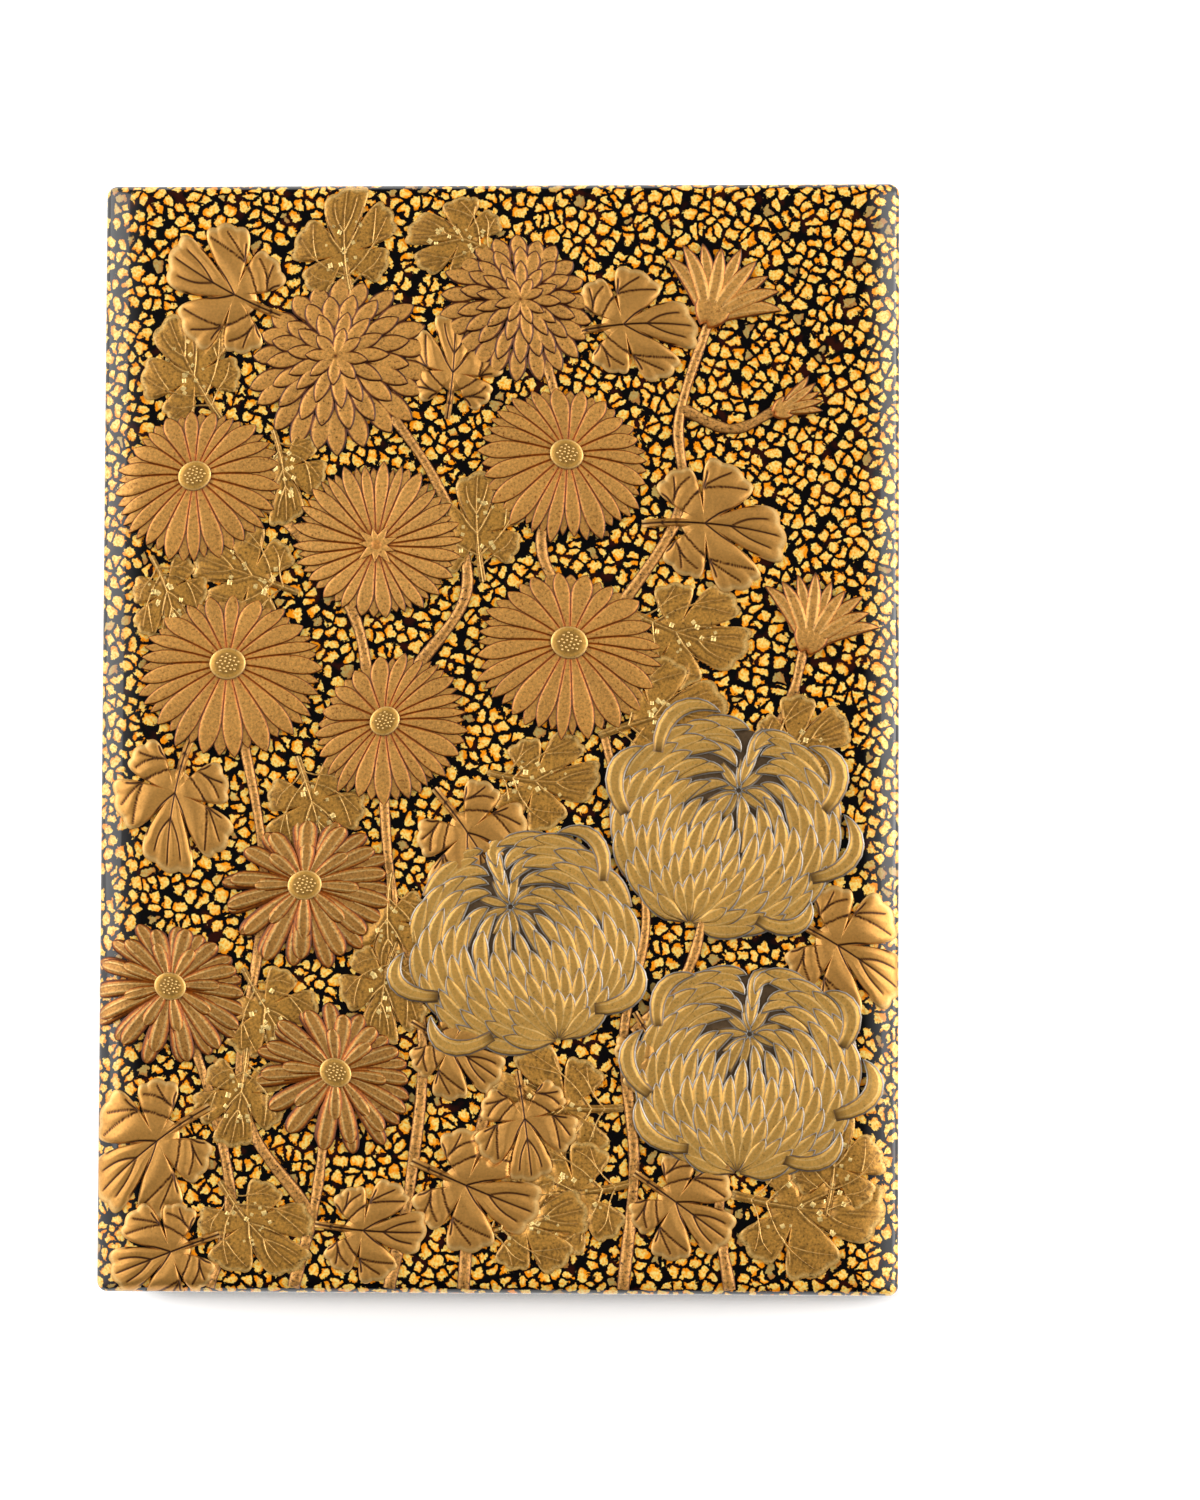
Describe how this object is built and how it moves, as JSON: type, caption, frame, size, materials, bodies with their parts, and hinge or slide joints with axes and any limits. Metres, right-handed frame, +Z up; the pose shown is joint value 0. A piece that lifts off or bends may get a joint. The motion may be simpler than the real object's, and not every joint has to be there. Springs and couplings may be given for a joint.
{
  "type": "incense box",
  "caption": "Rectangular lacquered incense box with a flush lid, an inner lip, a hanging tray and raised gold chrysanthemum ornament on the lid.",
  "frame": {"origin": "middle of the underside, on the surface that the box stands on", "axes": "+Z up through the lid, +Y along the long side towards the top of the lid's picture, +X to the right of that picture"},
  "size_m": [0.0754, 0.105, 0.0351],
  "materials": {
    "flake_lacquer": "clear lacquer, polished, over set gold flakes on a near-black ground",
    "sprinkled_lacquer": "clear amber lacquer, polished, over sprinkled gold powder",
    "silver_rim": "satin silver, slightly tarnished",
    "raised_gold": "satin gold powder over built-up lacquer"
  },
  "bodies": {
    "base": {"base_panel": "flake_lacquer", "base_wall_left": "flake_lacquer", "base_wall_right": "flake_lacquer", "base_wall_front": "flake_lacquer", "base_wall_back": "flake_lacquer", "lip_left": "sprinkled_lacquer", "lip_right": "sprinkled_lacquer", "lip_front": "sprinkled_lacquer", "lip_back": "sprinkled_lacquer", "base_rim": "silver_rim"},
    "tray": {"tray_floor": "sprinkled_lacquer", "tray_wall_left": "sprinkled_lacquer", "tray_wall_right": "sprinkled_lacquer", "tray_wall_front": "sprinkled_lacquer", "tray_wall_back": "sprinkled_lacquer", "tray_flange_left": "sprinkled_lacquer", "tray_flange_right": "sprinkled_lacquer", "tray_flange_front": "sprinkled_lacquer", "tray_flange_back": "sprinkled_lacquer"},
    "lid": {"lid_panel": "flake_lacquer", "lid_wall_left": "flake_lacquer", "lid_wall_right": "flake_lacquer", "lid_wall_front": "flake_lacquer", "lid_wall_back": "flake_lacquer", "lid_rim": "silver_rim", "raised_ornament": "raised_gold"}
  },
  "joints": [
    {"name": "lid_lift", "type": "slide", "parent": "base", "child": "lid", "axis": [0, 0, 1], "range_m": [0, 0.06]},
    {"name": "tray_lift", "type": "slide", "parent": "base", "child": "tray", "axis": [0, 0, 1], "range_m": [0, 0.03]}
  ],
  "couplings": [
    {"joint": "tray_lift", "follows": "lid_lift", "ratio": 0.5}
  ]
}
